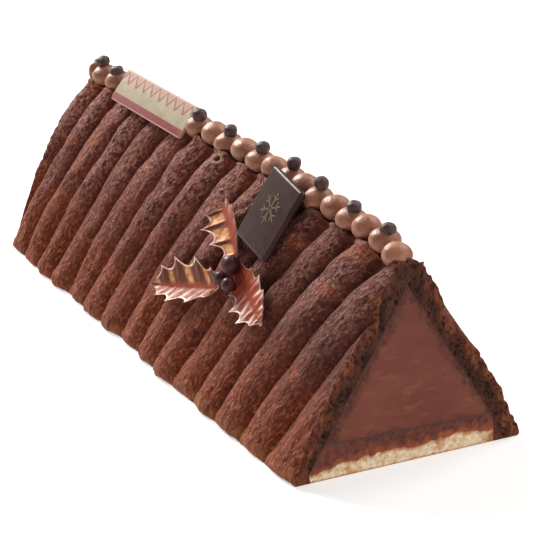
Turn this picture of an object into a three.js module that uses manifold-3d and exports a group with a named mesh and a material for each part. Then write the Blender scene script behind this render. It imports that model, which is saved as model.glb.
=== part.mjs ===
// Yule log cake: a three-sided log of chocolate mousse on a sponge base, walled by two
// sheets of piped finger biscuit that lean together, with a row of ganache balls along the
// ridge, chocolate pearls, a greeting plaque, a square of dark chocolate and a sprig of holly.
// Millimetres, +Z up. X runs along the log, and the origin is at the middle of its foot.

import * as THREE from 'three';
import { mergeVertices } from 'three/addons/utils/BufferGeometryUtils.js';
import Module from 'manifold-3d';

const wasm = await Module();
wasm.setup();

// The log
const logLength = 284.4;
const halfLength = logLength / 2;
const gap = 0.3;

// The slope of a wall, at the bottom of the grooves between its fingers
const footHalfWidth = 42.5;
const slopeRun = 0.535;
const ridgeHeight = 74;
const ridgeDrop = 3.4;

// The piped fingers of a wall
const fingerRelief = 5.1;
const fingerWidth = 18.9;
const narrowFingerWidth = 17;
const narrowFingers = 5;
const fingersPerWall = 18;
const firstFingerEdge = { front: -177, back: -170.3 };
const widerNearCut = { 14: 1.8, 15: 2, 16: 11.2 };
const leanAtMiddle = 28;
const leanPerLength = 1 / 24;
const fingerSides = 6;

// The cut section: mousse, soaked layer and base sponge
const innerFootHalfWidth = 41.4;
const innerRun = 0.62;
const mousseApexHeight = 66.5;
const mousseFloor = 11.6;
const syrupDepth = { front: 3.6, middle: 6.1, back: 5.1 };
const backFootInner = 34.9;

// The row of balls on the ridge
const ballHeight = 78.5;
const ballRowDrop = 2.4;
const ballHalfWidth = 5.9;
const ballHalfHeight = 4.7;
const ballCount = 22;
const firstBallX = 137;
const ballPitch = 11.8;
const pitchGrowth = 0.078;
const lastBallX = -138.2;
const endBalls = 3;

const group = new THREE.Group();

// ---------------------------------------------------------------- helpers

// One finish per kind of piece
function finish(colour, roughness, metalness = 0) {
  return () => new THREE.MeshStandardMaterial({ color: colour, roughness, metalness });
}

function addPiece(name, geometry, makeMaterial) {
  const mesh = new THREE.Mesh(geometry, makeMaterial());
  mesh.name = name;
  group.add(mesh);
  return mesh;
}

function smoothStep(from, to, value) {
  return THREE.MathUtils.smoothstep(value, from, to);
}

function closedGeometry(geometry) {
  const bare = geometry.index ? geometry.clone() : geometry;
  bare.deleteAttribute('normal');
  bare.deleteAttribute('uv');
  return mergeVertices(bare, 1e-4);
}

function toSolid(geometry) {
  const closed = closedGeometry(geometry);
  return new wasm.Manifold(new wasm.Mesh({
    numProp: 3,
    vertProperties: new Float32Array(closed.attributes.position.array),
    triVerts: new Uint32Array(closed.index.array),
  }));
}

function toGeometry(solid) {
  const mesh = solid.getMesh();
  const geometry = new THREE.BufferGeometry();
  geometry.setAttribute('position', new THREE.BufferAttribute(mesh.vertProperties, 3));
  geometry.setIndex(new THREE.BufferAttribute(mesh.triVerts, 1));
  return geometry;
}

// A closed skin of columns that each hold the same number of points round a section
function sectionSolid(columns) {
  const pointsRound = columns[0].length;
  const positions = columns.flat().flatMap((point) => [point.x, point.y, point.z]);
  const faces = [];
  for (let column = 0; column < columns.length - 1; column += 1) {
    for (let point = 0; point < pointsRound; point += 1) {
      const next = (point + 1) % pointsRound;
      const a = column * pointsRound + point;
      const b = column * pointsRound + next;
      faces.push(a, b, b + pointsRound, a, b + pointsRound, a + pointsRound);
    }
  }
  const last = (columns.length - 1) * pointsRound;
  for (let point = 1; point < pointsRound - 1; point += 1) {
    faces.push(0, point + 1, point);
    faces.push(last, last + point, last + point + 1);
  }
  const geometry = new THREE.BufferGeometry();
  geometry.setAttribute('position', new THREE.Float32BufferAttribute(positions, 3));
  geometry.setIndex(faces);
  return geometry;
}

// How far the crown of the ridge sinks towards the two ends of the log
function ridgeSag(x) {
  return ridgeDrop * (x / halfLength) ** 2;
}

// ---------------------------------------------------------------- ridge row: places

// The balls were piped closer together at the near end, with a small one to end the row
function ballX(index) {
  const spaced = firstBallX - ballPitch * index - pitchGrowth * index ** 2;
  const drift = 1.5 * Math.sin(Math.PI * THREE.MathUtils.clamp((index - 6) / 13, 0, 1));
  const makesRoom = index === ballCount - 2 ? 1.8 : 0;
  return Math.max(spaced + drift + makesRoom, lastBallX);
}

function roundSolid(sides, rings, halfSize, squareness = 1) {
  const geometry = new THREE.SphereGeometry(1, sides, rings);
  geometry.rotateX(Math.PI / 2);
  const place = geometry.attributes.position;
  const squared = (value) => Math.sign(value) * Math.abs(value) ** squareness;
  for (let i = 0; i < place.count; i += 1) {
    place.setXYZ(i, squared(place.getX(i)), squared(place.getY(i)), squared(place.getZ(i)));
  }
  geometry.scale(halfSize.x, halfSize.y, halfSize.z);
  return closedGeometry(geometry);
}

// Every other ball carries a pearl, as do the last three; those behind the plaque have none
const plaqueBalls = { first: 14, last: 18 };

function behindPlaque(index) {
  return index >= plaqueBalls.first && index <= plaqueBalls.last;
}

function carriesPearl(index) {
  return !behindPlaque(index) && (index % 2 === 1 || index >= ballCount - endBalls);
}

// How much higher or lower some pearls sit than the others, by the ball they were pressed into
const pearlLift = { 1: -1, 3: -0.4, 5: 1, 7: 1, 9: 0.5, 19: -1.5, 20: 0.5, 21: -2.6 };

function ballOf(index) {
  const isLast = index === ballCount - 1;
  const atEnd = index >= ballCount - endBalls;
  const beside = index === plaqueBalls.first - 1;
  const plain = !carriesPearl(index);
  const crowded = beside ? 1.7 : 0;
  const x = ballX(index) + crowded;
  const halfSpan = (ballPitch + 2 * pitchGrowth * index - gap) / 2 - crowded / 2;
  const leftover = isLast ? 0.7 : 0;
  const plump = plain && index > 0 ? 0.45 : 0;
  const slumped = index === 0 ? 1.2 : 0;
  const sway = 1.2 * Math.sin(Math.PI * THREE.MathUtils.clamp((index - 4.5) / 6, 0, 1));
  return {
    pearl: !plain,
    pearlShift: new THREE.Vector3(
      atEnd ? -1.2 : 1.4 + crowded / 3,
      beside ? -0.5 : 0.4,
      pearlLift[index] ?? 0,
    ),
    centre: new THREE.Vector3(
      x,
      (behindPlaque(index) ? 1.5 : 0.3 + 0.35 * Math.sin(2.1 * index) - crowded)
        + leftover + sway - slumped,
      ballHeight + 0.2 * Math.sin(1.3 * index) + 0.6 * crowded + plump - slumped
        - ballRowDrop * (x / halfLength) ** 2,
    ),
    halfSize: new THREE.Vector3(
      isLast ? 3.7 : halfSpan - 0.25 * (1 + Math.cos(1.7 * index)) - (atEnd ? 1.1 : 0),
      plain || isLast ? ballHalfWidth - 0.4 : ballHalfWidth,
      ballHalfHeight + plump,
    ),
  };
}

const balls = Array.from({ length: ballCount }, (_, index) => ballOf(index));

function ballSolid(ball, sides, rings, extra = 0) {
  const geometry = roundSolid(sides, rings, ball.halfSize.clone().addScalar(extra));
  geometry.translate(ball.centre.x, ball.centre.y, ball.centre.z);
  return toSolid(geometry);
}

// ---------------------------------------------------------------- biscuit walls

const biscuit = finish('#5c3226', 0.95);

// The slanted course of a finger: how far it has moved along X at a height on the wall. It
// sags a little half way up, and the fingers at the far end stand straighter.
function fingerLean(footX, height) {
  const rise = THREE.MathUtils.clamp(height / ridgeHeight, 0, 1);
  const bow = 0.33;
  const fullLean = leanAtMiddle + footX * leanPerLength;
  const slackAtMiddle = 1.6;
  const slack = slackAtMiddle * (4 * rise * (1 - rise)) ** 2;
  const farFingers = { from: -108, within: 18, straighter: 3 };
  const farShare = THREE.MathUtils.clamp((farFingers.from - footX) / farFingers.within, 0, 1);
  const straightened = farFingers.straighter * farShare * rise;
  return fullLean * (rise - bow * rise * (1 - rise)) - slack - straightened;
}

// A finger is pressed flat at its foot and rounds off towards its tip
function reliefAt(height) {
  const footRelief = 0.55;
  const tipRelief = 0.72;
  const roundedBelow = 7;
  const belowRound = Math.max(0, 1 - height / roundedBelow);
  const foot = footRelief + (1 - footRelief) * Math.sqrt(1 - belowRound ** 2);
  return foot * (1 - (1 - tipRelief) * smoothStep(62, ridgeHeight, height));
}

// How far round its finger a place across it is: 0 in the grooves and 1 on the crest. The
// fingers narrow to round tips at the ridge.
function roundAt(across, height) {
  const narrowing = 0.3 * smoothStep(ridgeHeight - 9, ridgeHeight + 3, height);
  const fromCrest = (2 * across - 1) / (1 - narrowing);
  return Math.max(0, 1 - fromCrest ** 2) ** 0.6;
}

// The wall is drawn as the front one, whose outside faces -Y
function wallColumn(footX, across, fullness) {
  const faceHeights = [0, 2.5, 8, 24, 42, 58, 68, ridgeHeight];
  const outward = new THREE.Vector2(-1, slopeRun).normalize();
  const outline = [];
  const add = (x, y, z) => outline.push(new THREE.Vector3(x, y, z));
  add(footX, -innerFootHalfWidth + gap, 0);
  for (const height of faceHeights) {
    const out = fingerRelief * fullness * roundAt(across, height) * reliefAt(height);
    const x = footX + fingerLean(footX, height);
    const sag = ridgeSag(x) * (height / ridgeHeight) ** 2;
    const lift = height === 0 ? 0 : out * outward.y - sag;
    add(x, -footHalfWidth + slopeRun * height + out * outward.x, height + lift);
  }
  const tipX = footX + fingerLean(footX, ridgeHeight);
  const bulge = fullness * roundAt(across, ridgeHeight);
  const sag = ridgeSag(tipX);
  const seamTop = ridgeHeight - 0.1;
  const seamFoot = (innerFootHalfWidth - 1.5 * gap) / innerRun;
  add(tipX, -3.9 - 1.2 * bulge, ridgeHeight + 0.9 + 1.2 * bulge - sag);
  add(tipX, -2, ridgeHeight + 0.3 * bulge - sag);
  add(tipX, -gap / 2, seamTop - sag);
  add(tipX, -gap / 2, seamFoot);
  return outline.reverse();
}

// Some fingers are piped wider than the rest, by their place in the sheet
function wallSolid(firstEdge, unevenness, wider = {}) {
  const columns = [];
  let edge = firstEdge;
  for (let finger = 0; finger < fingersPerWall; finger += 1) {
    const piped = finger < narrowFingers ? narrowFingerWidth : fingerWidth;
    const width = piped + 0.5 * Math.sin(2.4 * finger + unevenness) + (wider[finger] ?? 0);
    const fullness = 1 + 0.1 * Math.sin(1.9 * finger + 2 * unevenness);
    for (let side = 0; side < fingerSides; side += 1) {
      const across = (1 - Math.cos((Math.PI * side) / fingerSides)) / 2;
      columns.push(wallColumn(edge + width * across, across, fullness));
    }
    edge += width;
  }
  columns.push(wallColumn(edge, 0, 1));
  const slice = new THREE.BoxGeometry(logLength, 4 * footHalfWidth, 4 * ridgeHeight);
  return toSolid(sectionSolid(columns)).intersect(toSolid(slice));
}

// The balls settle into the tops of the fingers
function cradled(wall) {
  const hollow = (ball) => ballSolid(ball, 8, 6, 2.2 * gap);
  return balls.reduce((cut, ball) => cut.subtract(hollow(ball)), wall);
}

const frontWall = cradled(wallSolid(firstFingerEdge.front, 0, widerNearCut));
addPiece('biscuit_wall_front', toGeometry(frontWall), biscuit);

// The back wall is cut from the same piped sheet, turned round to face the other way. Its
// foot is left thicker inside, where the sheet's trimmed edge is folded under.
function backWallFold() {
  const fold = new THREE.Shape();
  const foldTop = mousseFloor - 1;
  fold.moveTo(-innerFootHalfWidth - 0.8, 0);
  fold.lineTo(-innerFootHalfWidth - 0.8 + innerRun * foldTop, foldTop);
  fold.lineTo(-backFootInner + gap, foldTop);
  fold.lineTo(-backFootInner + gap, 0);
  fold.closePath();
  return alongLog(fold);
}

// A section drawn with its Y across and its Z up, run along the whole log
function alongLog(shape) {
  const geometry = new THREE.ExtrudeGeometry(shape, { depth: logLength, bevelEnabled: false });
  geometry.rotateX(Math.PI / 2);
  geometry.rotateZ(Math.PI / 2);
  geometry.translate(-halfLength, 0, 0);
  return geometry;
}

const turnedSheet = wallSolid(firstFingerEdge.back, 1.3).add(toSolid(backWallFold()));
const backWall = cradled(turnedSheet.rotate([0, 0, 180]));
addPiece('biscuit_wall_back', toGeometry(backWall), biscuit);

// ---------------------------------------------------------------- filling and base

function sectionShape(corners) {
  const shape = new THREE.Shape();
  shape.moveTo(...corners[0]);
  corners.slice(1).forEach((corner) => shape.lineTo(...corner));
  shape.closePath();
  return shape;
}

// Half the width between the walls at a height, less the gap to each wall
function insideHalfWidth(height) {
  return innerFootHalfWidth - innerRun * height - 2 * gap;
}

// The mousse comes to a slightly blunt ridge under the meeting walls
const bluntHeight = mousseApexHeight - 1.6;
addPiece('chocolate_mousse', alongLog(sectionShape([
  [-insideHalfWidth(mousseFloor), mousseFloor],
  [insideHalfWidth(mousseFloor), mousseFloor],
  [insideHalfWidth(bluntHeight), bluntHeight],
  [0, mousseApexHeight - gap],
  [-insideHalfWidth(bluntHeight), bluntHeight],
])), finish('#74443a', 0.6));

// The syrup soaked deepest at the front foot
const layerTop = mousseFloor - gap;
addPiece('soaked_sponge', alongLog(sectionShape([
  [-insideHalfWidth(syrupDepth.front), syrupDepth.front],
  [0, syrupDepth.middle],
  [backFootInner - gap, syrupDepth.back],
  [insideHalfWidth(layerTop) - 1, layerTop],
  [-insideHalfWidth(layerTop), layerTop],
])), finish('#6e3420', 0.85));

const frontTop = syrupDepth.front - gap;
addPiece('base_sponge', alongLog(sectionShape([
  [-insideHalfWidth(0), 0],
  [backFootInner - gap, 0],
  [backFootInner - gap, syrupDepth.back - gap],
  [0, syrupDepth.middle - gap],
  [-insideHalfWidth(frontTop), frontTop],
])), finish('#d8c096', 0.95));

// ---------------------------------------------------------------- greeting plaque and ridge row

// A thin bar whose edges are bevelled, drawn flat with its front face upwards
function barGeometry({ width, height, thickness, bevel }) {
  const shape = new THREE.Shape();
  shape.moveTo(-width / 2 + bevel, -height / 2 + bevel);
  shape.lineTo(width / 2 - bevel, -height / 2 + bevel);
  shape.lineTo(width / 2 - bevel, height / 2 - bevel);
  shape.lineTo(-width / 2 + bevel, height / 2 - bevel);
  shape.closePath();
  const geometry = new THREE.ExtrudeGeometry(shape, {
    depth: thickness - 2 * bevel,
    bevelEnabled: true,
    bevelThickness: bevel,
    bevelSize: bevel,
    bevelSegments: 1,
  });
  return geometry.translate(0, 0, -thickness + bevel);
}

// Stands a flat bar up, turned a little in its own plane and leaning back against the log
function leanBar(geometry, centre, leanBack, turn) {
  geometry.rotateZ(turn);
  geometry.rotateX(Math.PI / 2 - leanBack);
  return geometry.translate(centre.x, centre.y, centre.z);
}

// The greeting plaque stands on the finger tips and leans back on the balls, and the ball at
// its near end is pressed in where the plaque rests on it
const greetingSize = { width: 71, height: 15, thickness: 1.5, bevel: 0.3 };
const greetingPlace = new THREE.Vector3(-63, -5.7, 81.2);
const greetingLean = THREE.MathUtils.degToRad(38);

function greetingBar(extra) {
  const geometry = barGeometry({
    width: greetingSize.width + 2 * extra,
    height: greetingSize.height + 2 * extra,
    thickness: greetingSize.thickness + 2 * extra,
    bevel: greetingSize.bevel,
  });
  return leanBar(geometry.translate(0, 0, extra), greetingPlace, greetingLean, 0.008);
}

addPiece('greeting_plaque', greetingBar(0), finish('#dccfa6', 0.4));

const ganache = finish('#a36c50', 0.35);
const pearlChocolate = finish('#4a3a3a', 0.5);

const pearlSize = new THREE.Vector3(3.1, 3.1, 2.85);
const pearlSunk = 2.1;
const pearlSquareness = 0.85;

balls.forEach((ball, index) => {
  const number = String(index + 1).padStart(2, '0');
  let ballShape = ballSolid(ball, 12, 8);
  if (index >= plaqueBalls.first - 1 && index <= plaqueBalls.last) {
    ballShape = ballShape.subtract(toSolid(greetingBar(gap)));
  }
  if (ball.pearl) {
    const pearlPlace = ball.centre.clone().add(ball.pearlShift);
    pearlPlace.z += ball.halfSize.z + pearlSize.z - pearlSunk;
    const placedPearl = (extra) => {
      const geometry = roundSolid(8, 6, pearlSize.clone().addScalar(extra), pearlSquareness);
      geometry.rotateZ(0.9 * index);
      geometry.rotateY(0.12 * Math.sin(1.7 * index));
      return geometry.translate(pearlPlace.x, pearlPlace.y, pearlPlace.z);
    };
    ballShape = ballShape.subtract(toSolid(placedPearl(gap)));
    addPiece(`chocolate_pearl_${number}`, placedPearl(0), pearlChocolate);
  }
  addPiece(`ganache_ball_${number}`, toGeometry(ballShape), ganache);
});

// ---------------------------------------------------------------- places on the front wall

// A point on the front wall: x along the log, up the slope from its foot, and out from the
// bottom of the grooves
const slopeUp = new THREE.Vector3(0, slopeRun, 1).normalize();
const slopeOut = new THREE.Vector3(0, -1, slopeRun).normalize();

function onFrontWall(x, up, out) {
  return new THREE.Vector3(x, -footHalfWidth, 0)
    .addScaledVector(slopeUp, up)
    .addScaledVector(slopeOut, out);
}

// The square of dark chocolate lies on the fingers with its top against the balls
const squareSize = { width: 27, height: 30, thickness: 2.7, bevel: 0.8 };
const squareLean = THREE.MathUtils.degToRad(30);
const squareTurn = THREE.MathUtils.degToRad(-8);
const darkSquare = leanBar(
  barGeometry(squareSize),
  onFrontWall(63.4, 76, 8.9),
  squareLean,
  squareTurn,
);
addPiece('chocolate_square', darkSquare, finish('#4b3d3b', 0.35));

// ---------------------------------------------------------------- holly

const leafFoil = finish('#b8683c', 0.3, 0.9);
const leafThickness = 0.5;
const stepsPerSpine = 5;

// A leaf pressed from foil and folded upwards along its midrib. Its edge is scooped out
// between the spines, whose places run from 0 at the stalk to 1 at the point, and each piece
// of blade between two side veins is pressed into a shallow hollow.
function leafSolid({ length, left, right, widestAt, rise, bend = 0, taper = 0.5, spines }) {
  const stalk = 0.06;
  const skew = Math.log(0.5) / Math.log(widestAt + stalk);
  const scoopDepth = 0.32;
  const hollow = 0.9;
  const sweep = 0.09 * length;
  const ribbonAt = (along, scooped) => {
    const body = Math.sin(Math.PI * Math.min(stalk + along, 1) ** skew) ** taper;
    const rib = new THREE.Vector3(length * along, bend * along ** 2, rise * along ** 2);
    const edge = (side, { halfWidth, fold }) => {
      const half = Math.max(0.4, halfWidth * body * (1 - scoopDepth * scooped));
      const share = half / halfWidth;
      return new THREE.Vector3(
        rib.x + sweep * share * (1 - along),
        rib.y + side * half,
        rib.z + fold * half - hollow * scooped * share,
      );
    };
    const skin = [edge(-1, right), rib, edge(1, left)];
    const under = skin.map((point) => point.clone().setZ(point.z - leafThickness));
    return [...under, ...skin.reverse()];
  };
  const ribbons = [];
  for (let spine = 0; spine < spines.length - 1; spine += 1) {
    for (let step = 0; step < stepsPerSpine; step += 1) {
      const share = step / stepsPerSpine;
      const along = THREE.MathUtils.lerp(spines[spine], spines[spine + 1], share);
      ribbons.push(ribbonAt(along, Math.sin(Math.PI * share) ** 0.8));
    }
  }
  ribbons.push(ribbonAt(1, 0));
  return sectionSolid(ribbons);
}

// A leaf's heading is measured on the wall, from +X towards the ridge
function addLeaf(number, base, heading, geometry) {
  const leaf = addPiece(`holly_leaf_${number}`, geometry, leafFoil);
  const angle = THREE.MathUtils.degToRad(heading);
  const axis = new THREE.Vector3(Math.cos(angle), 0, 0).addScaledVector(slopeUp, Math.sin(angle));
  const across = new THREE.Vector3().crossVectors(slopeOut, axis);
  leaf.quaternion.setFromRotationMatrix(new THREE.Matrix4().makeBasis(axis, across, slopeOut));
  leaf.position.copy(base);
}

addLeaf(1, onFrontWall(53.2, 54.15, 6.6), 144, leafSolid({
  length: 31,
  left: { halfWidth: 11, fold: 0.42 },
  right: { halfWidth: 7.5, fold: 0.42 },
  widestAt: 0.62,
  rise: 0.5,
  bend: 3.5,
  taper: 0.42,
  spines: [0, 0.1, 0.36, 0.75, 0.92, 1],
}));
addLeaf(2, onFrontWall(49, 41.65, 6.4), 198, leafSolid({
  length: 46,
  left: { halfWidth: 8, fold: 0.5 },
  right: { halfWidth: 11.2, fold: 0.42 },
  widestAt: 0.4,
  rise: 3,
  spines: [0, 0.04, 0.26, 0.58, 0.8, 1],
}));
addLeaf(3, onFrontWall(56, 52.15, 6.4), -21, leafSolid({
  length: 35,
  left: { halfWidth: 10.5, fold: 0.25 },
  right: { halfWidth: 9, fold: 0.42 },
  widestAt: 0.55,
  rise: 0.8,
  spines: [0, 0.25, 0.48, 0.72, 0.9, 1],
}));

// The berries sit where the leaves meet
const berries = [
  { x: 56.1, up: 52, out: 10.2, radius: 3.7 },
  { x: 51, up: 45.35, out: 8.4, radius: 2.6 },
  { x: 60.6, up: 44.6, out: 10.6, radius: 2.8 },
];
berries.forEach(({ x, up, out, radius }, index) => {
  const berry = roundSolid(12, 8, new THREE.Vector3(radius, radius, radius));
  const centre = onFrontWall(x, up, out);
  berry.translate(centre.x, centre.y, centre.z);
  addPiece(`holly_berry_${index + 1}`, berry, finish('#3a2028', 0.2));
});

export default group;
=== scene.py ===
"""A chocolate yule log in Blender: two leaning walls of piped finger biscuit round a wedge of
mousse on sponge, a row of ganache balls with chocolate pearls, two plaques and a holly sprig."""

import math

import bmesh
import bpy
import numpy as np
from mathutils import Matrix, Vector


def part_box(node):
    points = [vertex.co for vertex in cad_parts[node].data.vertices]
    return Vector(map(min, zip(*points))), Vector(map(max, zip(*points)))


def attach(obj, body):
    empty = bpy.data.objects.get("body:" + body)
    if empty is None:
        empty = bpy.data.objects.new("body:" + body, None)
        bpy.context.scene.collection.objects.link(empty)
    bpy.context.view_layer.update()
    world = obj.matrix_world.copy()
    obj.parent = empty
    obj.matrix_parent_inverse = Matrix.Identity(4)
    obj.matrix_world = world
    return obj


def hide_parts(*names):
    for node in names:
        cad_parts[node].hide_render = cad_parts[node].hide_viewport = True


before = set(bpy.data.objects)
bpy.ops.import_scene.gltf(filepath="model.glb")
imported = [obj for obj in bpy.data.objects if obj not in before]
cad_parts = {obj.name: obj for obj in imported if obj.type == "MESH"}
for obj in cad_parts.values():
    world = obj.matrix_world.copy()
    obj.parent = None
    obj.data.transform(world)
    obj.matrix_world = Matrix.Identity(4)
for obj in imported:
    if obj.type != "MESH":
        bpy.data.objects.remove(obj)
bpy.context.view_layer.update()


# ---- The view ----
# The log is looked at from its cut end with a long lens, a little from above, so that the row
# of balls climbs away to the upper left and the cut end faces the viewer.

mm = 0.001
turn_round_log = math.radians(64.218)
look_down = math.radians(20.161)
head_tilt = math.radians(-1.208)
step_back = 887.17
lens_in_pixels = 2210.46
frame_pixels = 540
aim = Vector((0, 0, 30))
aim_seen_at = (232.762, 260.405)

towards_viewer = Vector((
    math.sin(turn_round_log) * math.cos(look_down),
    -math.cos(turn_round_log) * math.cos(look_down),
    math.sin(look_down),
))
level = Vector((0, 0, 1)).cross(towards_viewer).normalized()
upright = towards_viewer.cross(level)
across_view = math.cos(head_tilt) * level + math.sin(head_tilt) * upright
up_view = -math.sin(head_tilt) * level + math.cos(head_tilt) * upright
slide_right, slide_down = (
    (seen - frame_pixels / 2) / lens_in_pixels * step_back for seen in aim_seen_at)
stand = aim + step_back * towards_viewer - slide_right * across_view + slide_down * up_view


def set_out(name, data):
    """A new object in the scene."""
    thing = bpy.data.objects.new(name, data)
    bpy.context.collection.objects.link(thing)
    return thing


lens = bpy.data.cameras.new("long_lens")
lens.sensor_width = 36
lens.lens = lens_in_pixels / frame_pixels * lens.sensor_width
lens.clip_start = 0.05
lens.clip_end = 20
viewer = set_out("viewer", lens)
viewer.matrix_world = Matrix.Translation(stand * mm) @ Matrix(
    (across_view, up_view, towards_viewer)
).transposed().to_4x4()
bpy.context.scene.camera = viewer


# ---- The table and the lamps ----
# A plain white light table, which glows a little, in an even white room. A large soft lamp
# shines along the log from behind its far end. A weaker one behind the ridge lights the balls,
# and one more the cut end.

bpy.context.scene.view_settings.view_transform = "Standard"
room = bpy.data.worlds.new("white_room")
room.use_nodes = True
room_shader = room.node_tree.nodes["Background"]
room_shader.inputs["Color"].default_value = (1, 1, 1, 1)
room_shader.inputs["Strength"].default_value = 0.27
bpy.context.scene.world = room


def hang_lamp(name, direction, softness_degrees, strength, colour):
    """A far lamp that shines from a direction."""
    lamp = bpy.data.lights.new(name, "SUN")
    lamp.angle = math.radians(softness_degrees)
    lamp.energy = strength
    lamp.color = colour
    holder = set_out(name, lamp)
    holder.rotation_euler = Vector(direction).to_track_quat("Z", "Y").to_euler()


hang_lamp("far_end_lamp", (-0.86, -0.12, 0.55), 24, 4.5, (1, 0.95, 0.91))
hang_lamp("behind_lamp", (-0.1, 0.62, 0.76), 40, 1.9, (1, 1, 1))
hang_lamp("cut_end_lamp", (0.9, 0.4, 0.3), 40, 0.9, (1, 0.98, 0.96))

table_reach = 6
table_mesh = bpy.data.meshes.new("table_top")
table_mesh.from_pydata(
    [(x * table_reach, y * table_reach, 0) for x, y in ((-1, -1), (1, -1), (1, 1), (-1, 1))],
    [],
    [(0, 1, 2, 3)],
)
table_white = bpy.data.materials.new("table_white")
table_white.use_nodes = True
table_shader = table_white.node_tree.nodes["Principled BSDF"]
for socket, value in (("Base Color", (0.6, 0.595, 0.59, 1)), ("Roughness", 0.6),
                      ("Emission Color", (1, 0.99, 0.98, 1)), ("Emission Strength", 0.52)):
    table_shader.inputs[socket].default_value = value
table_mesh.materials.append(table_white)
table = set_out("table_top", table_mesh)


# ---- The biscuit walls ----
# Each wall is a sheet of finger biscuit: thick fingers of cocoa batter piped side by side on
# the slant, dusted with sugar and baked as one. The sheet is cut to the log's length, which
# leaves a ragged crumb edge, and leans against the filling. The back one is turned round.

half_length = 142.2
wall_foot = 42.5
wall_run = 0.535
wall_top = 74.0
slope_per_height = 1.13
ridge_sag = 3.4
out_of_wall = np.array([0.0, -1.0, wall_run]) / math.hypot(1.0, wall_run)

finger_count = 18
finger_width = 18.9
narrow_fingers = 5
narrow_width = 17.0
# How much further along the last fingers start, as those by the cut end are piped wider.
wider_at_cut_end = np.array([1.8, 3.8, 15.0])
finger_swell = 5.1
foot_swell = 0.2
foot_rounded_below = 7
# The soft batter spread a little at the table, and the near half of the foot bows outwards.
foot_spread, foot_spread_below = 1.4, 5
foot_bow, foot_bow_below = 1.8, 30

# The sheet rounds over its shoulder to the seam. At the cut end the two close over the foot
# of the last ball.
shoulder_y, shoulder_up = -5.0, 76.9
seam_y, seam_up = -0.02, 72.6
inner_ridge = 66.05
end_cap_start = 137.4

# A large bubble burst near the tip of one finger, at this place on the unrolled sheet.
burst_place = np.array([-23.6, 82.3])
burst_size = np.array([1.9, 1.6])

column_step = 0.55
row_step = 0.62
crown_rows = 16
crumb_columns = 12

ball_names = [f"ganache_ball_{count:02d}" for count in range(1, 23)]
ball_half_height, ball_slump = 4.7, 0.92


def scramble(cells, seed):
    """One even random number from 0 to 1 for each whole-numbered cell."""
    key = np.full(cells.shape[:-1], 7919 * seed + 17, dtype=np.uint64)
    for axis in range(cells.shape[-1]):
        number = (cells[..., axis].astype(np.int64) & 0xFFFFF).astype(np.uint64)
        key = ((key ^ number) * np.uint64(2654435761)) & np.uint64(0xFFFFFFFF)
        key ^= key >> np.uint64(15)
        key = (key * np.uint64(2246822519)) & np.uint64(0xFFFFFFFF)
        key ^= key >> np.uint64(13)
    return key.astype(float) / 2 ** 32


def unevenness(spots, size, seed):
    """Soft random swellings and hollows from -0.5 to 0.5, about as wide as size."""
    cells = spots / np.asarray(size, float)
    corner = np.floor(cells)
    share = cells - corner
    share = share * share * (3 - 2 * share)
    total = np.zeros(spots.shape[:-1])
    axes = spots.shape[-1]
    for number in range(2 ** axes):
        step = np.array([(number >> axis) & 1 for axis in range(axes)])
        weight = np.prod(np.where(step == 1, share, 1 - share), axis=-1)
        total += weight * scramble(corner + step, seed)
    return total - 0.5


def bubbles(spots, size, seed, narrowest, widest):
    """1 at the middle of a burst bubble and 0 outside one, with a bubble in each cell."""
    cells = spots / np.asarray(size, float)
    corner = np.floor(cells)
    nearest = np.full(spots.shape[:-1], 9.0)
    for across in (-1, 0, 1):
        for up in (-1, 0, 1):
            cell = corner + np.array([across, up])
            place = cell + np.stack([scramble(cell, seed), scramble(cell, seed + 1)], axis=-1)
            radius = narrowest + (widest - narrowest) * scramble(cell, seed + 2) ** 2
            away = np.linalg.norm(cells - place, axis=-1) / radius
            nearest = np.minimum(nearest, away)
    return np.clip(1 - nearest, 0, 1)


def eased(value, start, end):
    """0 up to start, 1 from end on, and a soft curve between."""
    share = np.clip((value - start) / (end - start), 0, 1)
    return share * share * (3 - 2 * share)


def finger_lean(foot_x, height):
    """How far along the log a finger has leaned at a height. Those at the far end lean less."""
    rise = np.clip(height / wall_top, 0, 1)
    full_lean = 28 + foot_x / 24
    slack = 1.6 * 16 * rise ** 2 * (1 - rise) ** 2
    upright_at_far_end = 3 * np.clip((-108 - foot_x) / 18, 0, 1) * rise
    return full_lean * (rise - 0.33 * rise * (1 - rise)) - slack - upright_at_far_end


def finger_edges(first_edge, variety):
    """Where each finger starts at the foot of the wall, and how fully each is piped."""
    starts, fullness = [first_edge], []
    for finger in range(finger_count):
        piped = narrow_width if finger < narrow_fingers else finger_width
        starts.append(starts[-1] + piped + 0.5 * math.sin(2.4 * finger + variety))
        fullness.append(1 + 0.1 * math.sin(1.9 * finger + 2 * variety))
    return np.array(starts), np.array(fullness)


def swell_across(x, height, starts, fullness):
    """How far a point is round its finger, from 0 in the groove to 1 on the crest.

    The fingers narrow to round tips at the ridge.
    """
    foot_x = x - finger_lean(x - 12, height)
    for _ in range(6):
        foot_x = x - finger_lean(foot_x, height)
    finger = np.clip(np.searchsorted(starts, foot_x) - 1, 0, len(fullness) - 1)
    place = (foot_x - starts[finger]) / (starts[finger + 1] - starts[finger])
    narrowed = 1 - 0.3 * eased(height, wall_top - 9, wall_top + 3)
    round_finger = np.clip(1 - ((2 * place - 1) / narrowed) ** 2, 0, 1) ** 0.6
    return fullness[finger] * round_finger, foot_x, finger


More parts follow.
